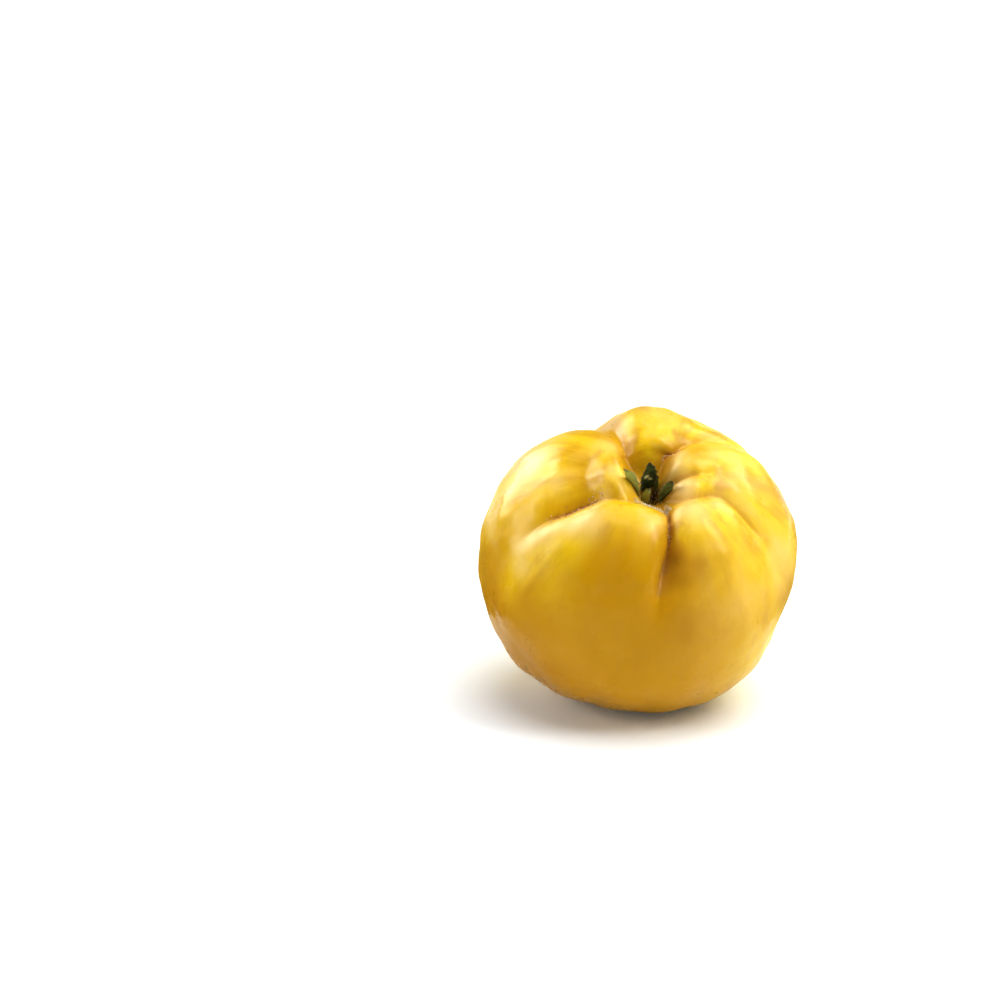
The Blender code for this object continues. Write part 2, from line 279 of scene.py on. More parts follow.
# The skin's mesh: how often the cube's edges are halved, how much finer it is about the eye, and how rounded
# the edge of its flat spot is
SPHERE_LEVEL = 7
EYE_CROWDING = 0.4
FLAT_ROUNDING = 0.6 * MM

# ---------------------------------------------------------------------------- calyx, stem and threads

# A sepal's azimuth, its foot's distance from the axis, its length and half width, how far out its blade
# leans, how much further its tip curls, and in degrees how far the blade is twisted. pale is how light its
# green is.
Sepal = namedtuple("Sepal", "name azimuth ring length half_width reach curl twist pale")
SEPALS = (
    Sepal("sepal_left", 188, 4.6 * MM, 12.6 * MM, 2.5 * MM, 4.2 * MM, 0.7 * MM, 70, 1.0),
    Sepal("sepal_front", 226, 3.2 * MM, 6.6 * MM, 1.9 * MM, -0.6 * MM, -1.0 * MM, 0, 1.0),
    Sepal("sepal_right", 320, 4.0 * MM, 10.8 * MM, 2.5 * MM, 1.2 * MM, 0.4 * MM, -45, 0.1),
    Sepal("sepal_back_right", 62, 2.8 * MM, 7.6 * MM, 0.9 * MM, 0.3 * MM, 0.3 * MM, -20, 0.3),
    Sepal("sepal_back", 112, 3.1 * MM, 12.0 * MM, 3.8 * MM, 1.4 * MM, 0.2 * MM, 0, 0.0),
)
# Their thickness, how far their feet sink into the floor, the teeth along each edge, and the mesh's grid
SEPAL_THICKNESS = 0.35 * MM
SEPAL_SINK = 0.6 * MM
SEPAL_TEETH = 6
SEPAL_COLUMNS = 15
SEPAL_ROWS = 34

# Painted highlights, pale glints drawn on the blade: which sepal, where on it (aside from -1 to 1, along from
# 0 to 1), and their half sizes
Speck = namedtuple("Speck", "sepal aside along half_width half_length")
SEPAL_GLINTS = (Speck("sepal_back", -0.28, 0.38, 0.20, 0.045), Speck("sepal_back", 0.14, 0.47, 0.26, 0.055))

# Styles and stamens: the ring that they stand on, length and radius. Then what both share: the steps along
# one, how far its foot sinks into the floor, and how much its knob narrows at the very end.
STYLE_RING = 0.9 * MM
STYLE_LENGTH = 3.6 * MM
STYLE_RADIUS = 0.3 * MM
STAMEN_RING = 2.0 * MM
STAMEN_LENGTH = 3.0 * MM
STAMEN_RADIUS = 0.16 * MM
THREAD_STEPS = 12
THREAD_SINK = 0.5 * MM
THREAD_TIP = 0.55

# The woolly hairs: how many, the share of them along the front of the eye's rim, the azimuths that the front
# runs between and its polar angle, and a hair's radii from root to tip
WOOL_COUNT = 520
WOOL_FRONT_SHARE = 0.8
WOOL_FRONT = (226.0, 300.0)
WOOL_RIM = 9.8
WOOL_RADII = (0.04 * MM, 0.035 * MM, 0.025 * MM, 0.01 * MM)

STEM_LENGTH = 10.0 * MM
STEM_RADIUS = 2.7 * MM
STEM_BEND = 0.9 * MM

# How many ridges of bark each layer has round the stem. Then the rings of its dished end: how far each stands
# out past the cut, and its radius as a share of the cut's.
STEM_RIDGES = (3, 5, 8, 13, 21)
STEM_FACE = ((0.10 * MM, 0.97), (0.02 * MM, 0.86), (-0.25 * MM, 0.6), (-0.45 * MM, 0.3), (-0.5 * MM, 0.08))

# ------------------------------------------------------------------------------------ camera and light

# The camera looks past the fruit: its aim lies to that side of the fruit's middle and that far above it
CAMERA_ELEVATION = math.radians(18)
CAMERA_DISTANCE = 0.8
CAMERA_LENS = 100
CAMERA_RIGHT_OFFSET = -39.5 * MM
CAMERA_UP_OFFSET = 16.7 * MM

VIEW_GAMMA = 0.8

SKY_STRENGTH = 0.20
FLOOR_GLOW_STRENGTH = 0.1

# The ceiling is one even light: the way to it from the fruit, its strength, and how many degrees it fills
CEILING_TOWARDS = (0.26, 0.04, 1.0)
CEILING_STRENGTH = 3.0
CEILING_SPREAD = 64.0

# Panels of light: azimuth (0 behind the fruit, 90 on its right) and elevation in degrees, distance, width and
# height in metres, radiance, and what they light: "gloss" is reflections only, "shade" is all but
# reflections, and "both" is everything
Softbox = namedtuple("Softbox", "name azimuth elevation distance size radiance lights")
SOFTBOXES = (
    Softbox("back_wall", 0, 15, 1.65, (4.0, 1.0), 1.0, "shade"),
    Softbox("fill_right", 113, 39, 0.86, (0.22, 0.40), 7.8, "both"),
    Softbox("fill_left", -105, 26, 0.78, (0.16, 0.30), 11.0, "shade"),
    Softbox("window_left", -45, 24, 0.9, (0.62, 0.52), 7.0, "gloss"),
    Softbox("window_high", -70, 42, 0.9, (0.20, 0.42), 18.0, "gloss"),
    Softbox("window_right", 52, 32, 0.9, (0.60, 0.45), 5.0, "gloss"),
    Softbox("strip_left", -97, 31, 0.9, (0.20, 0.40), 14.0, "gloss"),
    Softbox("strip_right", 122, 45, 0.9, (0.22, 0.60), 11.0, "gloss"),
)

# Low cards round the fruit: the azimuth of a card's middle (0 on the fruit's right, 90 behind it) and how far
# it reaches to either side, in degrees. Then all the cards' distance from the fruit, the height of their
# middles and their half height.
Card = namedtuple("Card", "name azimuth half_turn colour")
CARDS = (
    Card("card_left", 165, 55, (0.30, 0.15, 0.02)),
    Card("card_right", 30, 45, (0.50, 0.42, 0.30)),
)
CARD_RING = 75.0 * MM
CARD_MIDDLE = 23.0 * MM
CARD_HALF_HEIGHT = 22.0 * MM

rest_spot = Vector(frame["record"]["mounts"][0]["pos_m"])


def core_matrix():
    """The frame of the core axis, leaned forwards and lifted as the fruit rests."""
    across = math.sin(LEAN_RIGHT)
    front = -math.sin(LEAN_FRONT) * math.cos(LEAN_RIGHT)
    up = Vector((across, front, math.cos(LEAN_FRONT) * math.cos(LEAN_RIGHT)))
    right = (Vector((1.0, 0.0, 0.0)) - up * up.x).normalized()
    rotation = Matrix((right, up.cross(right), up)).transposed()
    middle = rest_spot + Vector((0.0, 0.0, MIDDLE_HEIGHT))
    return Matrix.Translation(middle) @ rotation.to_4x4()


CORE = np.array(core_matrix())


def to_world(points):
    return points @ CORE[:3, :3].T + CORE[:3, 3]


# ---------------------------------------------------------------------- the skin's surface as a formula


def ramp(value, low, high):
    """0 below low, 1 above high, and smooth between."""
    step = np.clip((value - low) / (high - low), 0.0, 1.0)
    return step * step * (3.0 - 2.0 * step)


def window(polar, span):
    """Rises from span[0] to span[1], and falls from span[2] to span[3]."""
    return ramp(polar, span[0], span[1]) * (1.0 - ramp(polar, span[2], span[3]))


def wobble(points, wavelength, seed, waves=26):
    """Smooth noise of about unit height: many sine waves in random directions."""
    rng = np.random.default_rng(seed)
    direction = rng.normal(size=(waves, 3))
    direction /= np.linalg.norm(direction, axis=1, keepdims=True)
    direction *= rng.uniform(0.7, 1.4, (waves, 1)) * math.tau / wavelength
    phase = rng.uniform(0.0, math.tau, waves)
    return np.sin(points @ direction.T + phase).sum(axis=1) / math.sqrt(waves / 2)


def bell(across, hollow):
    return hollow.depth * np.exp(-((across / hollow.radius) ** hollow.steepness))


def profile(polar):
    """(distance from the core axis, height along it) of the plain turned body."""
    across = RADIUS * np.abs(np.sin(polar))
    eye_half = np.cos(polar) > 0.0
    height = np.where(eye_half, EYE_HEIGHT, STEM_HEIGHT) * np.cos(polar)
    for hollow in EYE_HOLLOWS:
        height -= eye_half * bell(across, hollow)
    for hollow in STEM_HOLLOWS:
        height += ~eye_half * bell(across, hollow)
    return across, height


def profile_normal(polar):
    """The outward normal of the turned body, as (across, height)."""
    step = 1e-4
    across_1, height_1 = profile(np.minimum(polar + step, math.pi))
    across_0, height_0 = profile(np.maximum(polar - step, 0.0))
    length = np.hypot(across_1 - across_0, height_1 - height_0)
    return (height_0 - height_1) / length, (across_1 - across_0) / length


def smooth_path(value, stations, column):
    """A cubic curve through one column of the stations, held level past both ends."""
    table = np.array(stations, float)
    spots, heights = table[:, 0], table[:, column]
    slopes = np.gradient(heights, spots)
    slopes[0] = slopes[-1] = 0.0
    value = np.clip(value, spots[0], spots[-1])
    index = np.clip(np.searchsorted(spots, value, side="right") - 1, 0, len(spots) - 2)
    gap = spots[index + 1] - spots[index]
    step = (value - spots[index]) / gap
    start = (1 + 2 * step) * heights[index] + step * gap * slopes[index]
    end = (3 - 2 * step) * heights[index + 1] - (1 - step) * gap * slopes[index + 1]
    return (1 - step) ** 2 * start + step**2 * end


def furrow_aside(furrow, polar_degrees, azimuth_degrees, across):
    """Distance along the skin from the furrow's line, positive towards larger azimuths."""
    middle = smooth_path(polar_degrees, furrow.stations, 1)
    turn = (azimuth_degrees - middle + 180.0) % 360.0 - 180.0
    return np.radians(turn) * across


def furrow_relief(furrow, polar_degrees, azimuth_degrees, across):
    """How far the furrow sinks the skin: a valley, and a narrow crease along its floor."""
    aside = furrow_aside(furrow, polar_degrees, azimuth_degrees, across)
    depth = np.maximum(smooth_path(polar_degrees, furrow.stations, 2), 0.0) * MM
    before = smooth_path(polar_degrees, furrow.stations, 3)
    after = smooth_path(polar_degrees, furrow.stations, 4)
    half_width = np.where(aside < 0.0, before, after) * MM
    reach = np.sqrt((aside / half_width) ** 2 + furrow.round**2) - furrow.round
    crease_depth = np.maximum(smooth_path(polar_degrees, furrow.stations, 5), 0.0) * MM
    crease = crease_depth * np.exp(-((aside / CREASE_WIDTH) ** 2))
    return -depth * np.exp(-(reach**1.15)) - crease


def nearness(spot, polar, azimuth):
    """1 in the middle of a swelling or patch, fading to 0 round it."""
    middle = math.radians(spot.polar)
    turn = azimuth - math.radians(spot.azimuth)
    cosine = np.sin(polar) * math.sin(middle) * np.cos(turn) + np.cos(polar) * math.cos(middle)
    away = np.degrees(np.arccos(np.clip(cosine, -1.0, 1.0)))
    return np.exp(-((away / spot.spread) ** 2))


def patch_mask(patches, polar, azimuth):
    return np.clip(sum(patch.strength * nearness(patch, polar, azimuth) for patch in patches), 0.0, 1.0)


def russet_mask(polar_degrees, azimuth_degrees, across):
    """Where the furrows' floors are corky and brown, from 0 to 1."""
    mask = np.zeros_like(polar_degrees)
    for furrow in FURROWS:
        if furrow.russet:
            aside = furrow_aside(furrow, polar_degrees, azimuth_degrees, across)
            here = np.exp(-((aside / RUSSET_WIDTH) ** 2)) * window(polar_degrees, furrow.russet)
            mask = np.maximum(mask, here)
    return mask


def scar_mask(polar_degrees, azimuth_degrees, across):
    """The healed split where the front furrow opens out."""
    aside = furrow_aside(FRONT, polar_degrees, azimuth_degrees, across)
    return np.exp(-((aside / SCAR_WIDTH) ** 2)) * window(polar_degrees, SCAR_SPAN)


def ribs(polar_degrees, azimuth, seed):
    """Faint ridges that run from the eye towards the stem, so that highlights break up."""
    rng = np.random.default_rng(seed)
    total = np.zeros_like(azimuth)
    for count in RIB_COUNTS:
        drift = 0.5 * np.sin(np.radians(polar_degrees) * rng.uniform(2, 5) + rng.uniform(0, math.tau))
        total += np.sin(count * azimuth + drift + rng.uniform(0, math.tau))
    return total * window(polar_degrees, RIB_SPAN)


def surface(polar, azimuth, fine=True):
    """Points of the skin in the core axis's frame, from arrays of angles in radians."""
    across, height = profile(polar)
    out_across, out_height = profile_normal(polar)
    polar_degrees = np.degrees(polar)
    azimuth_degrees = np.degrees(azimuth)
    relief = np.zeros_like(polar)
    for furrow in FURROWS:
        relief += furrow_relief(furrow, polar_degrees, azimuth_degrees, across)
    for swell in SWELLS:
        relief += swell.height * MM * nearness(swell, polar, azimuth)
    relief *= ramp(polar_degrees, 1.0, 8.0)
    folds = (0.5 + 0.5 * np.cos(STEM_FOLDS * azimuth)) ** 3
    relief -= STEM_FOLD_DEPTH * folds * window(polar_degrees, STEM_FOLD_SPAN)
    if fine:
        body = np.stack([across * np.cos(azimuth), across * np.sin(azimuth), height], axis=-1)
        for seed, (wavelength, tall) in enumerate(LUMPS):
            relief += tall * wobble(body, wavelength, seed) * ramp(polar_degrees, 4.0, 20.0)
        relief += RIB_HEIGHT * ribs(polar_degrees, azimuth, SEED)
        russet = russet_mask(polar_degrees, azimuth_degrees, across)
        relief += WRINKLE_HEIGHT * russet * wobble(body, WRINKLE_LENGTH, SEED)
    across = np.maximum(across + out_across * relief, 0.0)
    height = height + out_height * relief
    return np.stack([across * np.cos(azimuth), across * np.sin(azimuth), height], axis=-1)


def rest_flat(world):
    """Flattens what would sink below the surface that the fruit rests on, with a rounded edge."""
    floor = rest_spot.z
    low = world[:, 2] - floor
    rounded = (low + FLAT_ROUNDING) ** 2 / (4.0 * FLAT_ROUNDING)
    rounded = np.where(low < -FLAT_ROUNDING, 0.0, rounded)
    world[:, 2] = floor + np.where(low > FLAT_ROUNDING, low, rounded)
    return world


def skin_point(polar_degrees, azimuth_degrees):
    """(point, outward normal) of the skin in the core frame, at one place."""
    step = 0.4
    polar = np.radians(np.array([polar_degrees, polar_degrees + step, polar_degrees]))
    azimuth = np.radians(np.array([azimuth_degrees, azimuth_degrees, azimuth_degrees + step]))
    here, outwards, around = surface(polar, azimuth)
    normal = np.cross(outwards - here, around - here)
    return Vector(here), Vector(normal).normalized()


def eye_place(ring, azimuth):
    """The frame of a calyx piece: at the eye's middle, on its floor at that ring, turned to that azimuth."""
    polar = np.radians(np.linspace(0.0, EYE_SPAN, 60))
    points = surface(polar, np.full_like(polar, azimuth), fine=False)
    floor = np.interp(ring, np.hypot(points[:, 0], points[:, 1]), points[:, 2])
    return Matrix.Translation((0.0, 0.0, floor)) @ Matrix.Rotation(azimuth, 4, "Z")


# ------------------------------------------------------------------------------------ mesh helpers


def new_object(name, mesh, finish, node_names):
    """Links a finished mesh as one piece of the part."""
    mesh.materials.append(finish)
    mesh.shade_smooth()
    piece = bpy.data.objects.new(name, mesh)
    bpy.context.scene.collection.objects.link(piece)
    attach(piece, "root")
    if node_names:
        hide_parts(*node_names)
    return piece


def set_attribute(mesh, name, values):
    layer = mesh.attributes.new(name, "FLOAT", "POINT")
    layer.data.foreach_set("value", np.asarray(values, np.float32))


def sweep(cage, points, radii, sides, shape=None):
    """Adds a closed tube along points. shape(angle, index) scales the radius."""
    points = [Vector(point) for point in points]
    rings = []
    side = None
    for index, point in enumerate(points):
        ahead = points[min(index + 1, len(points) - 1)] - points[max(index - 1, 0)]
        ahead.normalize()
        if side is None:
            side = ahead.orthogonal()
        side = (side - ahead * side.dot(ahead)).normalized()
        other = ahead.cross(side)
        ring = []
        for step in range(sides):
            angle = math.tau * step / sides
            scale = shape(angle, index) if shape else 1.0
            offset = (side * math.cos(angle) + other * math.sin(angle)) * radii[index] * scale
            ring.append(cage.verts.new(point + offset))
        rings.append(ring)
    for low, high in zip(rings, rings[1:]):
        for step in range(sides):
            after = (step + 1) % sides
            cage.faces.new((low[step], low[after], high[after], high[step]))
    cage.faces.new(list(reversed(rings[0])))
    cage.faces.new(rings[-1])


def mesh_in_core(name, cage, place=Matrix.Identity(4)):
    """Ends a bmesh built in place's frame, inside the core axis's, and puts it in the world."""
    bmesh.ops.transform(cage, matrix=Matrix(CORE.tolist()) @ place, verts=cage.verts)
    bmesh.ops.recalc_face_normals(cage, faces=cage.faces)
    mesh = bpy.data.meshes.new(name)
    cage.to_mesh(mesh)
    cage.free()
    return mesh


# ---------------------------------------------------------------------------------------- materials


class Nodes:
    """A short way to write a material's nodes."""

    def __init__(self, name):
        self.material = bpy.data.materials.new(name)
        self.material.use_nodes = True
        self.tree = self.material.node_tree
        self.shader = self.tree.nodes["Principled BSDF"]

    def add(self, kind, inputs=None, **settings):
        node = self.tree.nodes.new(kind)
        for key, value in settings.items():
            setattr(node, key, value)
        for key, value in (inputs or {}).items():
            self.feed(node.inputs[key], value)
        return node

    def feed(self, socket, value):
        """Links a node's output to the socket, or sets the socket's own value."""
        if isinstance(value, bpy.types.NodeSocket):
            self.tree.links.new(value, socket)
        else:
            socket.default_value = value

    def set(self, **values):
        """Feeds the shader's inputs, named with underscores for spaces."""
        for key, value in values.items():
            self.feed(self.shader.inputs[key.replace("_", " ")], value)

    def place(self, scale):
        """Coordinates in units of 1/scale metres."""
        where = self.add("ShaderNodeTexCoord").outputs["Object"]
        return self.add("ShaderNodeMapping", {"Vector": where, "Scale": scale}).outputs["Vector"]

    def noise(self, vector, scale, detail=3.0, rough=0.5):
        inputs = {"Vector": vector, "Scale": scale, "Detail": detail, "Roughness": rough}
        return self.add("ShaderNodeTexNoise", inputs).outputs["Fac"]

    def spots(self, vector, scale):
        return self.add("ShaderNodeTexVoronoi", {"Vector": vector, "Scale": scale}).outputs["Distance"]

    def attribute(self, name):
        return self.add("ShaderNodeAttribute", attribute_name=name).outputs["Fac"]

    def remap(self, value, low, high, to_low=0.0, to_high=1.0):
        made = self.add("ShaderNodeMapRange", {
            "Value": value, "From Min": low, "From Max": high, "To Min": to_low, "To Max": to_high,
        }, interpolation_type="SMOOTHSTEP")
        return made.outputs["Result"]

    def math(self, operation, first, second):
        return self.add("ShaderNodeMath", {0: first, 1: second}, operation=operation).outputs["Value"]

    def mix(self, factor, first, second):
        made = self.add("ShaderNodeMix", data_type="RGBA")
        self.feed(made.inputs["Factor"], factor)
        self.feed(made.inputs[6], (*first, 1.0) if isinstance(first, tuple) else first)
        self.feed(made.inputs[7], (*second, 1.0) if isinstance(second, tuple) else second)
        return made.outputs[2]

    def bump(self, height, strength, distance, before=None):
        inputs = {"Height": height, "Strength": strength, "Distance": distance}
        if before:
            inputs["Normal"] = before
        return self.add("ShaderNodeBump", inputs).outputs["Normal"]


GOLD = (0.85, 0.56, 0.001)
LEMON = (0.89, 0.65, 0.014)
# Amber is the skin's own riper tone in the bands and streaks, and painted shade everywhere else it is used
AMBER_AND_SHADE = (0.56, 0.285, 0.0005)
# Straw is the skin's own paler tone in the bands, and painted highlights and painted light where the patches
# and the lit side use it
STRAW_AND_HIGHLIGHT = (0.94, 0.685, 0.26)
# Ochre is painted shade
SHADE_OCHRE = (0.36, 0.155, 0.003)
GREENISH = (0.56, 0.46, 0.03)
TAN = (0.42, 0.21, 0.06)
RUSSET = (0.34, 0.13, 0.02)
PALE = (0.90, 0.72, 0.42)
LEAF_DARK = (0.035, 0.055, 0.012)
LEAF_GREEN = (0.10, 0.14, 0.035)
LEAF_PALE = (0.44, 0.50, 0.15)
LEAF_TIP = (0.03, 0.02, 0.008)
LEAF_EDGE = (0.42, 0.36, 0.18)
# A painted highlight on the back sepal
LEAF_GLINT = (0.95, 0.93, 0.52)
BARK_DARK = (0.055, 0.025, 0.010)
BARK_BROWN = (0.22, 0.12, 0.055)
BARK_GREY = (0.32, 0.27, 0.18)
STYLE_COLOURS = ((0.05, 0.028, 0.012), (0.14, 0.09, 0.035))
STAMEN_COLOURS = ((0.09, 0.045, 0.016), (0.24, 0.13, 0.045))
WOOL_COLOURS = ((0.74, 0.65, 0.48), (0.95, 0.92, 0.85))
FLECK_COLOURS = ((0.42, 0.20, 0.09), (0.86, 0.70, 0.52))
FLOOR_WHITE = (0.93, 0.965, 1.0, 1.0)
FLOOR_GLOW = (0.62, 0.76, 0.88, 1.0)
SKY_WHITE = (0.92, 0.96, 1.0, 1.0)

# Painted shade on the near, left and lower side, more amber where less light falls: the way it faces, and the
# cosines from that direction over which it fades in
SHADED_SIDE_TOWARDS = (-0.37, -0.79, -0.48)
SHADED_SIDE_SPAN = (0.15, 0.75)
# Painted light on the right side, paler and straw-coloured where the light falls, given in the same way
LIT_SIDE_TOWARDS = (0.94, -0.28, 0.19)
LIT_SIDE_SPAN = (0.30, 0.95)
LIT_SIDE_STRENGTH = 0.2
# Painted shade in the furrows: how amber they turn, and the depth at which they are wholly so
HOLLOW_SHADE = 0.65
HOLLOW_SHADE_DEPTH = 5.0 * MM
# Painted shade in the eye's basin: how brown it is, and the distances from the axis over which that fades out
BASIN_SHADE = 0.6
BASIN_SPAN = (5.0 * MM, 11.0 * MM)
# The polar angles over which the skin turns greenish towards the stem
STEM_TINT_SPAN = (150.0, 172.0)
# The polar angle by which the streaks that run from the eye have spread out
STREAK_SPREAD = 30.0


def skin_material():
    """Waxy skin. Each layer of colour is mixed over the ones before it."""
    made = Nodes("quince_skin")
    where = made.place((1.0, 1.0, 1.0))

    # Noises: broad, in upright streaks, in bands that run from the eye to the stem, and mottled
    broad = made.noise(where, 34.0, 3.0)
    streak = made.noise(made.place((1.0, 1.0, 0.35)), 160.0, 4.0, 0.6)
    meridian = made.add("ShaderNodeCombineXYZ", {
        "X": made.attribute("around_x"), "Y": made.attribute("around_y"), "Z": made.attribute("down"),
    }).outputs["Vector"]
    band = made.noise(meridian, 3.6, 4.0, 0.6)
    mottle = made.noise(where, 75.0, 4.0, 0.55)
    uneven = made.remap(mottle, 0.32, 0.62, 0.45, 1.0)
    even = made.remap(mottle, 0.32, 0.62, 0.75, 1.0)

    # The ground colour, its riper and paler bands, its painted shaded and lit sides, and the patches of
    # painted shade, light and highlight
    colour = made.mix(made.remap(broad, 0.38, 0.66), GOLD, LEMON)
    colour = made.mix(made.remap(band, 0.50, 0.28, 0.0, 0.4), colour, STRAW_AND_HIGHLIGHT)
    # Painted shade: the near, left and lower side turns amber where less light falls
    colour = made.mix(made.math("MULTIPLY", made.attribute("blush"), 0.9), colour, AMBER_AND_SHADE)
    colour = made.mix(made.remap(band, 0.46, 0.70, 0.0, 0.75), colour, AMBER_AND_SHADE)
    colour = made.mix(made.remap(streak, 0.5, 0.75, 0.0, 0.35), colour, AMBER_AND_SHADE)
    # Painted shade: the amber patches in dents, near the eye, along the left edge and low down
    colour = made.mix(made.math("MULTIPLY", made.attribute("ripe"), uneven), colour, AMBER_AND_SHADE)
    # Painted shade: the furrows turn amber the deeper they sink
    colour = made.mix(made.attribute("hollow"), colour, AMBER_AND_SHADE)
    # Painted highlights in patches, and painted light on the right side
    colour = made.mix(made.math("MULTIPLY", made.attribute("straw"), even), colour, STRAW_AND_HIGHLIGHT)
    # Painted shade: brown in the eye's basin, beside the furrows and low on the near left
    colour = made.mix(made.attribute("brown"), colour, SHADE_OCHRE)
    colour = made.mix(made.math("MULTIPLY", made.attribute("stem_tint"), 0.8), colour, GREENISH)

    # Pores, the healed scar, and the corky floors of the furrows
    pores = made.spots(where, 620.0)
    colour = made.mix(made.remap(pores, 0.16, 0.05, 0.0, 0.22), colour, TAN)
    fine = made.noise(where, 900.0, 4.0, 0.65)
    flaky = made.remap(made.noise(where, 500.0, 3.0), 0.3, 0.6, 0.3, 0.8)
    healed = made.math("MULTIPLY", made.attribute("scar"), flaky)
    colour = made.mix(healed, colour, TAN)
    cork = made.math("MULTIPLY", made.attribute("russet"), made.remap(fine, 0.3, 0.6, 0.35, 1.0))
    colour = made.mix(cork, colour, RUSSET)
    flecks = made.math("MULTIPLY", made.attribute("russet"), made.remap(made.spots(where, 1500.0), 0.3, 0.1))
    colour = made.mix(made.math("MULTIPLY", flecks, 0.25), colour, PALE)

    # The wax's sheen, and relief too fine for the mesh
    rough = made.remap(made.noise(where, 90.0, 4.0, 0.6), 0.3, 0.7, 0.25, 0.37)
    rough = made.math("ADD", rough, made.math("MULTIPLY", made.attribute("russet"), 0.4))
    normal = made.bump(made.noise(where, 420.0, 4.0, 0.55), 0.03, 0.0006)
    normal = made.bump(pores, 0.02, 0.0004, normal)
    made.set(Base_Color=colour, Roughness=rough, Normal=normal, Specular_IOR_Level=0.2)
    made.set(Subsurface_Weight=0.08, Subsurface_Radius=(1.0, 0.6, 0.1), Subsurface_Scale=1.2 * MM)
    return made.material


def sepal_material():
    made = Nodes("sepal_green")
    where = made.place((1.0, 1.0, 1.0))
    along = made.attribute("along")
    colour = made.mix(made.remap(made.noise(where, 700.0), 0.35, 0.65), LEAF_DARK, LEAF_GREEN)
    colour = made.mix(made.math("MULTIPLY", made.attribute("pale"), 0.85), colour, LEAF_PALE)
    colour = made.mix(made.remap(along, 0.8, 1.0, 0.0, 0.8), colour, LEAF_TIP)
    colour = made.mix(made.math("MULTIPLY", made.attribute("edge"), 0.5), colour, LEAF_EDGE)
    # Painted highlights on the back sepal's dark blade
    colour = made.mix(made.attribute("speck"), colour, LEAF_GLINT)
    made.set(Base_Color=colour, Roughness=made.remap(made.noise(where, 1200.0), 0.3, 0.7, 0.45, 0.7))
    made.set(Normal=made.bump(made.noise(where, 2500.0, 4.0, 0.6), 0.3, 0.0002))
    return made.material


def wood_material():
    made = Nodes("stem_wood")
    where = made.place((1.0, 1.0, 1.0))
    grain = made.noise(made.place((1.0, 1.0, 0.25)), 1400.0, 5.0, 0.65)
    colour = made.mix(made.remap(grain, 0.3, 0.7), BARK_DARK, BARK_BROWN)
    colour = made.mix(made.remap(made.noise(where, 500.0), 0.55, 0.75, 0.0, 0.6), colour, BARK_GREY)
    made.set(Base_Color=colour, Roughness=made.remap(grain, 0.3, 0.7, 0.6, 0.9))
    made.set(Normal=made.bump(grain, 0.5, 0.0004))
    return made.material


def thread_material(name, dark, light, roughness):
    made = Nodes(name)
    where = made.place((1.0, 1.0, 1.0))
    patches = made.noise(where, 1500.0, 3.0)
    made.set(Base_Color=made.mix(made.remap(patches, 0.35, 0.65), dark, light))
    made.set(Roughness=made.remap(patches, 0.3, 0.7, roughness - 0.1, roughness + 0.1))
    return made.material


# ----------------------------------------------------------------------------------------- the fruit


def sphere_directions(level):
    """An even quad sphere: a cube's grid, spread and blown up to a ball."""
    cage = bmesh.new()
    bmesh.ops.create_cube(cage, size=2.0)
    bmesh.ops.subdivide_edges(cage, edges=cage.edges[:], cuts=2**level - 1, use_grid_fill=True)
    mesh = bpy.data.meshes.new("fruit_skin")
    cage.to_mesh(mesh)
    cage.free()
    points = np.empty(len(mesh.vertices) * 3)
    mesh.vertices.foreach_get("co", points)
    points = np.tan(points.reshape(-1, 3) * math.pi / 4)
    return mesh, points / np.linalg.norm(points, axis=1, keepdims=True)


def tint_skin(mesh, polar, azimuth, world):
    """Writes where each tint of the skin lies, the painted shade and painted highlights among them, as the
    attributes that its material reads.
    """
    polar_degrees = np.degrees(polar)
    azimuth_degrees = np.degrees(azimuth)
    across, _ = profile(polar)
    # Painted shade in the furrows, stronger the deeper they sink
    hollow = np.zeros_like(polar)
    for furrow in FURROWS:
        hollow -= furrow_relief(furrow, polar_degrees, azimuth_degrees, across)
    set_attribute(mesh, "hollow", HOLLOW_SHADE * ramp(hollow / HOLLOW_SHADE_DEPTH, 0.25, 1.0))
    outwards = world - np.array(rest_spot) - np.array([0.0, 0.0, MIDDLE_HEIGHT])
    outwards /= np.linalg.norm(outwards, axis=1, keepdims=True)
    # Painted shade on the near, left and lower side, taken away again by the patches of painted light
    blush = ramp(outwards @ np.array(SHADED_SIDE_TOWARDS), *SHADED_SIDE_SPAN)
    set_attribute(mesh, "blush", blush * (1.0 - patch_mask(LIT_PATCHES, polar, azimuth)))
    # Painted light on the right side, and the painted highlights
    lit_side = LIT_SIDE_STRENGTH * ramp(outwards @ np.array(LIT_SIDE_TOWARDS), *LIT_SIDE_SPAN)
    set_attribute(mesh, "straw", np.maximum(lit_side, patch_mask(HIGHLIGHT_PATCHES, polar, azimuth)))
    set_attribute(mesh, "around_x", np.cos(azimuth) * ramp(polar_degrees, 0.0, STREAK_SPREAD))
    set_attribute(mesh, "around_y", np.sin(azimuth) * ramp(polar_degrees, 0.0, STREAK_SPREAD))
    set_attribute(mesh, "down", 0.35 * polar)
    # Painted shade in patches
    set_attribute(mesh, "ripe", patch_mask(SHADE_PATCHES, polar, azimuth))
    set_attribute(mesh, "russet", russet_mask(polar_degrees, azimuth_degrees, across))
    set_attribute(mesh, "scar", scar_mask(polar_degrees, azimuth_degrees, across))
    # Painted shade in the eye's basin and in the brown patches
    basin = BASIN_SHADE * (1.0 - ramp(across, *BASIN_SPAN)) * (polar_degrees < 90.0)
    set_attribute(mesh, "brown", np.maximum(basin, patch_mask(BROWN_SHADE_PATCHES, polar, azimuth)))
    set_attribute(mesh, "stem_tint", ramp(polar_degrees, *STEM_TINT_SPAN))


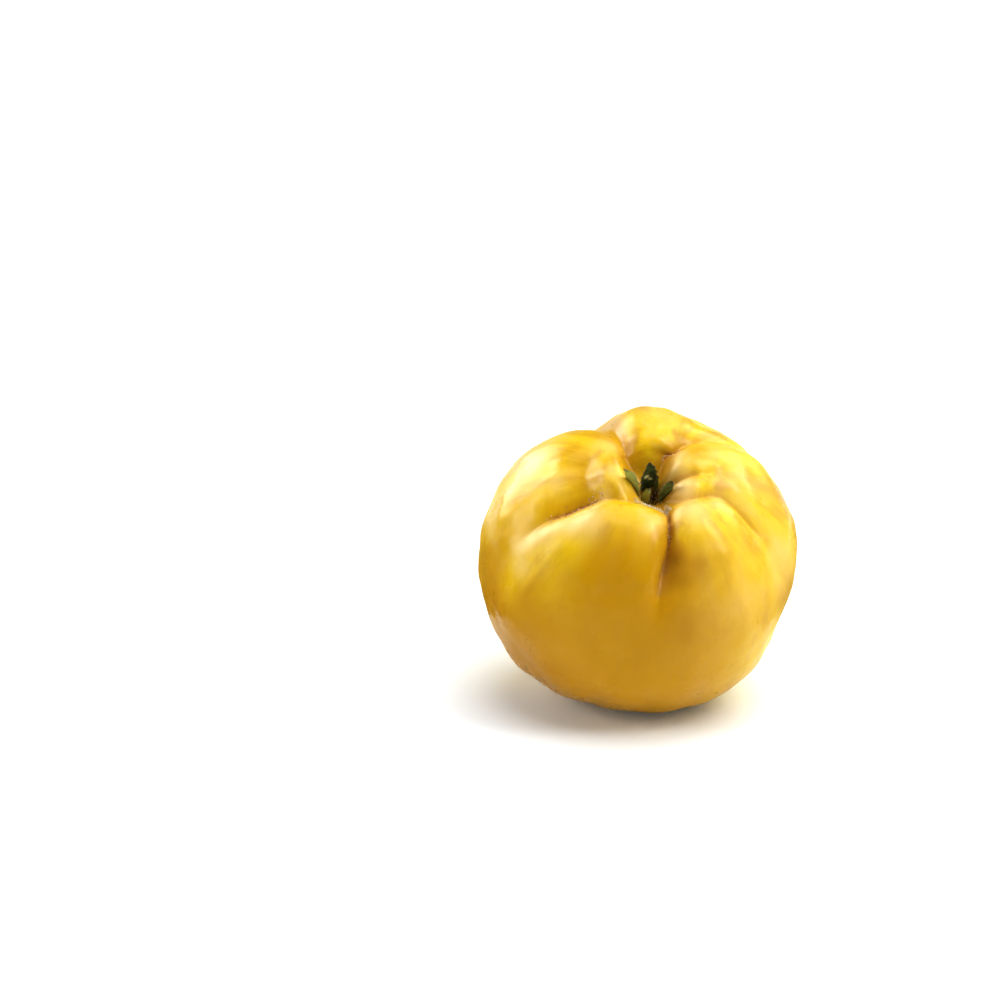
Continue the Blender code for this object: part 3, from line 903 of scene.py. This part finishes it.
def make_fruit():
    mesh, directions = sphere_directions(SPHERE_LEVEL)
    even = np.arccos(np.clip(directions[:, 2], -1.0, 1.0))
    polar = even - EYE_CROWDING * np.sin(even)
    azimuth = np.arctan2(directions[:, 1], directions[:, 0]) % math.tau
    world = rest_flat(to_world(surface(polar, azimuth)))
    mesh.vertices.foreach_set("co", world.ravel())
    mesh.update()
    tint_skin(mesh, polar, azimuth, world)
    return new_object("fruit_skin", mesh, skin_material(), ["fruit"])


# ---------------------------------------------------------------------------------------- the calyx


def glint_mask(sepal, aside, along):
    """1 on the sepal's painted highlights, and 0 off them."""
    mask = 0.0
    for speck in SEPAL_GLINTS:
        if speck.sepal == sepal.name:
            wide = ((aside - speck.aside) / speck.half_width) ** 4
            tall = ((along - speck.along) / speck.half_length) ** 4
            mask = max(mask, math.exp(-wide - tall))
    return mask


def sepal_point(sepal, aside, along, phase):
    """One point of the blade, in a frame with +X out from the axis and +Z up.

    aside runs from -1 to 1 across the blade and along from 0 to 1 up it. phase shifts its teeth and its wave.
    """
    # A pointed leaf with a toothed edge
    teeth = (SEPAL_TEETH * along + 0.08 * phase + (0.4 if aside > 0 else 0.0)) % 1.0
    outline = max(1.0 - along, 0.0) ** 0.75 * (0.60 + 1.25 * along) + 0.03
    half_width = sepal.half_width * outline * (1.0 - 0.30 * teeth * abs(aside) ** 3)
    sideways = half_width * aside

    # Folded along a raised midrib, with side veins and a wave
    fold = 0.40 * half_width * aside**2
    rib = 0.10 * MM * math.exp(-((aside / 0.12) ** 2)) * (1.0 - along)
    vein = 0.035 * MM * math.sin(math.tau * (5.0 * along - 1.6 * abs(aside)))
    wave = 0.22 * MM * math.sin(math.tau * 1.4 * along + phase) * aside
    out = rib + vein + wave - fold

    # Twisted about its own length, leaning out, and curled at the tip
    turn = math.radians(sepal.twist) * ramp(along, 0.0, 0.45)
    ring = sepal.ring + sepal.reach * along + sepal.curl * along**5
    x = ring + out * math.cos(turn) - sideways * math.sin(turn)
    y = out * math.sin(turn) + sideways * math.cos(turn)
    return x, y, sepal.length * (along - 0.10 * along**4) - SEPAL_SINK


def make_sepal(sepal, finish):
    """One dried leaf of the calyx."""
    cage = bmesh.new()
    bmesh.ops.create_grid(cage, x_segments=SEPAL_COLUMNS, y_segments=SEPAL_ROWS, size=1.0)
    rows = []
    phase = random.Random(sepal.name).uniform(0.0, math.tau)
    for vertex in cage.verts:
        aside, along = vertex.co.x, 0.5 + 0.5 * vertex.co.y
        rows.append((aside, along))
        vertex.co = sepal_point(sepal, aside, along, phase)
    bmesh.ops.solidify(cage, geom=cage.faces[:], thickness=SEPAL_THICKNESS)
    count = len(cage.verts)
    mesh = mesh_in_core(sepal.name + "_leaf", cage, eye_place(sepal.ring, math.radians(sepal.azimuth)))
    rows = (rows * (count // len(rows) + 1))[:count]
    set_attribute(mesh, "along", [along for _, along in rows])
    set_attribute(mesh, "edge", [abs(aside) ** 6 for aside, _ in rows])
    set_attribute(mesh, "speck", [glint_mask(sepal, aside, along) for aside, along in rows])
    set_attribute(mesh, "pale", [sepal.pale] * count)
    return new_object(sepal.name + "_leaf", mesh, finish, [sepal.name])


def make_thread(name, azimuth, ring, length, radius, splay, knob, finish, rng):
    """A dried style or stamen: a wavy, tapering thread with a small shrivelled knob on its end."""
    cage = bmesh.new()
    points = []
    radii = []
    phase = rng.uniform(0.0, math.tau)
    for step in range(THREAD_STEPS + 1):
        along = step / THREAD_STEPS
        sway = 0.18 * MM * math.sin(3.2 * along + phase) * along
        rise = length * along - THREAD_SINK
        points.append((ring + splay * along**2 + sway, 0.4 * splay * along - sway, rise))
        swelling = knob * math.exp(-(((along - 0.93) / 0.07) ** 2))
        radii.append(radius * (1.0 - 0.35 * along + swelling))
    radii[-1] *= THREAD_TIP
    sweep(cage, points, radii, 8)
    mesh = mesh_in_core(name + "_dried", cage, eye_place(ring, azimuth))
    return new_object(name + "_dried", mesh, finish, [name])


def make_threads():
    rng = random.Random(SEED)
    style = thread_material("dried_style", *STYLE_COLOURS, 0.65)
    stamen = thread_material("dried_stamen", *STAMEN_COLOURS, 0.7)
    names = sorted(frame["nodes"])
    styles = [name for name in names if name.startswith("style_")]
    for index, name in enumerate(styles):
        azimuth = math.tau * (index + 0.5) / len(styles)
        length = STYLE_LENGTH * rng.uniform(0.85, 1.15)
        splay = rng.uniform(0.1, 0.7) * MM
        make_thread(name, azimuth, STYLE_RING, length, STYLE_RADIUS, splay, 0.6, style, rng)
    stamens = [name for name in names if name.startswith("stamen_")]
    for index, name in enumerate(stamens):
        azimuth = math.tau * (index + 0.25) / len(stamens)
        length = STAMEN_LENGTH * rng.uniform(0.75, 1.25)
        splay = rng.uniform(-0.3, 0.5) * MM
        make_thread(name, azimuth, STAMEN_RING, length, STAMEN_RADIUS, splay, 1.3, stamen, rng)


def make_wool():
    """White woolly hairs on the inner edge of the eye's rim, most of them along the front."""
    rng = random.Random(SEED + 1)
    cage = bmesh.new()
    first, last = WOOL_FRONT
    for _ in range(WOOL_COUNT):
        along_front = rng.random() < WOOL_FRONT_SHARE
        if along_front:
            azimuth = last - (last - first) * rng.random() ** 1.6
            polar = rng.gauss(WOOL_RIM, 0.5)
        else:
            azimuth = rng.uniform(0.0, 360.0)
            polar = rng.uniform(4.5, 9.0)
        root, normal = skin_point(polar, azimuth)
        inward = Vector((-root.x, -root.y, 0.0)).normalized()
        sideways = normal.cross(inward)
        lean = normal * 0.5 + inward * rng.uniform(0.2, 1.0) + sideways * rng.uniform(-0.9, 0.9)
        lean.normalize()
        length = rng.uniform(0.2, 0.7) * MM
        curl = sideways * rng.uniform(-0.4, 0.4) + normal * rng.uniform(-0.5, 0.1)
        points = [root + lean * length * step / 3 + curl * length * (step / 3) ** 2 for step in range(4)]
        sweep(cage, points, WOOL_RADII, 3)
    mesh = mesh_in_core("calyx_wool", cage)
    finish = thread_material("wool", *WOOL_COLOURS, 0.8)
    return new_object("calyx_wool", mesh, finish, [])


def make_flecks():
    """Small dry flakes caught along the floors of the corky furrows."""
    rng = random.Random(SEED + 2)
    cage = bmesh.new()
    for strew in STREWS:
        for _ in range(strew.count):
            polar = rng.uniform(strew.start, strew.end)
            across = RADIUS * math.sin(math.radians(polar))
            aside = rng.gauss(strew.aside, strew.reach) * MM
            azimuth = float(smooth_path(polar, strew.furrow.stations, 1)) + math.degrees(aside / across)
            place, normal = skin_point(polar, azimuth)
            size = rng.uniform(0.10, 0.24) * MM
            flake = bmesh.ops.create_icosphere(cage, subdivisions=2, radius=size)["verts"]
            stretch = Matrix.Diagonal((rng.uniform(0.8, 1.9), rng.uniform(0.6, 1.2), 0.45, 1.0))
            spin = Matrix.Rotation(rng.uniform(0.0, math.tau), 4, "Z")
            face = normal.to_track_quat("Z", "Y").to_matrix().to_4x4()
            for vertex in flake:
                vertex.co *= 1.0 + rng.uniform(-0.18, 0.18)
            move = Matrix.Translation(place + normal * size * 0.15) @ face @ spin @ stretch
            bmesh.ops.transform(cage, matrix=move, verts=flake)
    mesh = mesh_in_core("furrow_flecks", cage)
    finish = thread_material("fleck", *FLECK_COLOURS, 0.6)
    return new_object("furrow_flecks", mesh, finish, [])


def make_stem():
    """The woody stub: ridged bark, a flare at the cut end, and a dished, broken face."""
    rng = random.Random(SEED + 3)
    ridges = [(count, rng.uniform(0.0, math.tau), rng.uniform(0.02, 0.05)) for count in STEM_RIDGES]
    foot = float(surface(np.array([math.pi]), np.array([0.0]), fine=False)[0, 2]) + 0.6 * MM
    length = STEM_LENGTH + 1.0 * MM
    profile_points = []
    radii = []
    steps = 26
    for step in range(steps + 1):
        along = step / steps
        bend = STEM_BEND * along**2
        profile_points.append((bend, -0.5 * bend, foot - length * along))
        flare = 0.30 * math.exp(-along / 0.10) + 0.16 * math.exp(-((1.0 - along) / 0.13) ** 2)
        radii.append(STEM_RADIUS * (0.88 + flare))
    end = Vector(profile_points[-1])
    ahead = (end - Vector(profile_points[-2])).normalized()
    for proud, scale in STEM_FACE:
        profile_points.append(end + ahead * proud)
        radii.append(STEM_RADIUS * 1.04 * scale)

    def bark(angle, index):
        along = min(index / steps, 1.0)
        total = sum(tall * math.sin(count * angle + phase + 2.5 * along) for count, phase, tall in ridges)
        return 1.0 + total * (1.0 if index <= steps else 0.4)

    cage = bmesh.new()
    sweep(cage, profile_points, radii, 64, shape=bark)
    mesh = mesh_in_core("stem_stub", cage)
    return new_object("stem_stub", mesh, wood_material(), ["stem"])


# --------------------------------------------------------------------------------- floor, light, camera


def make_floor():
    """A white table top, with a faint glow that keeps the shadow on it pale."""
    bpy.ops.mesh.primitive_plane_add(size=6.0, location=rest_spot)
    floor = bpy.context.object
    floor.name = "studio_floor"
    made = Nodes("studio_floor")
    made.set(Base_Color=FLOOR_WHITE, Roughness=0.6)
    made.set(Emission_Color=FLOOR_GLOW, Emission_Strength=FLOOR_GLOW_STRENGTH)
    floor.data.materials.append(made.material)


def aim_lamp(name, light, place):
    """Hangs a lamp at place from the fruit's middle, facing it."""
    lamp = bpy.data.objects.new(name, light)
    bpy.context.scene.collection.objects.link(lamp)
    target = rest_spot + Vector((0.0, 0.0, MIDDLE_HEIGHT))
    lamp.location = target + Vector(place)
    lamp.rotation_euler = (target - lamp.location).to_track_quat("-Z", "Y").to_euler()
    return lamp


def make_card(card):
    """A card that only reflections see. It keeps the white floor out of those at the fruit's edge."""
    cage = bmesh.new()
    bmesh.ops.create_grid(cage, x_segments=24, y_segments=1, size=1.0)
    for vertex in cage.verts:
        turn = math.radians(card.azimuth + card.half_turn * vertex.co.x)
        height = CARD_MIDDLE + CARD_HALF_HEIGHT * vertex.co.y
        vertex.co = (CARD_RING * math.cos(turn), CARD_RING * math.sin(turn), height)
    mesh = bpy.data.meshes.new(card.name)
    cage.to_mesh(mesh)
    cage.free()
    finish = Nodes(card.name)
    finish.set(Base_Color=(*card.colour, 1.0), Roughness=0.9)
    mesh.materials.append(finish.material)
    screen = bpy.data.objects.new(card.name, mesh)
    bpy.context.scene.collection.objects.link(screen)
    screen.visible_camera = False
    screen.visible_diffuse = False
    screen.visible_shadow = False


def add_softbox(box):
    light = bpy.data.lights.new(box.name, "AREA")
    light.shape = "RECTANGLE"
    light.size, light.size_y = box.size
    light.energy = box.radiance * math.pi * light.size * light.size_y
    turn, rise = math.radians(box.azimuth), math.radians(box.elevation)
    towards = Vector((math.sin(turn) * math.cos(rise), math.cos(turn) * math.cos(rise), math.sin(rise)))
    lamp = aim_lamp(box.name, light, towards * box.distance)
    lamp.visible_diffuse = box.lights != "gloss"
    lamp.visible_glossy = box.lights != "shade"


def add_ceiling():
    """Even light from above, softened over a wide angle."""
    light = bpy.data.lights.new("ceiling", "SUN")
    light.energy = CEILING_STRENGTH
    light.angle = math.radians(CEILING_SPREAD)
    aim_lamp("ceiling", light, CEILING_TOWARDS)


def light_studio():
    """Soft light from above and all round, with windows and strips that give the skin its highlights."""
    for card in CARDS:
        make_card(card)
    add_ceiling()
    for box in SOFTBOXES:
        add_softbox(box)
    world = bpy.data.worlds.new("studio")
    world.use_nodes = True
    sky = world.node_tree.nodes["Background"]
    sky.inputs["Color"].default_value = SKY_WHITE
    sky.inputs["Strength"].default_value = SKY_STRENGTH
    bpy.context.scene.world = world
    bpy.context.scene.view_settings.view_transform = "Standard"
    bpy.context.scene.view_settings.gamma = VIEW_GAMMA


def add_camera():
    """Looks along +Y from above the horizon, with the fruit right of and below the picture's middle."""
    data = bpy.data.cameras.new("camera")
    data.lens = CAMERA_LENS
    data.clip_start = 0.01
    camera = bpy.data.objects.new("camera", data)
    bpy.context.scene.collection.objects.link(camera)
    ahead = Vector((0.0, math.cos(CAMERA_ELEVATION), -math.sin(CAMERA_ELEVATION)))
    right = Vector((1.0, 0.0, 0.0))
    up = right.cross(ahead)
    aim = rest_spot + Vector((0.0, 0.0, MIDDLE_HEIGHT)) + right * CAMERA_RIGHT_OFFSET + up * CAMERA_UP_OFFSET
    camera.location = aim - ahead * CAMERA_DISTANCE
    camera.rotation_euler = ahead.to_track_quat("-Z", "Y").to_euler()
    bpy.context.scene.camera = camera


make_fruit()
make_stem()
leaf_finish = sepal_material()
for sepal in SEPALS:
    make_sepal(sepal, leaf_finish)
make_threads()
make_wool()
make_flecks()
make_floor()
light_studio()
add_camera()
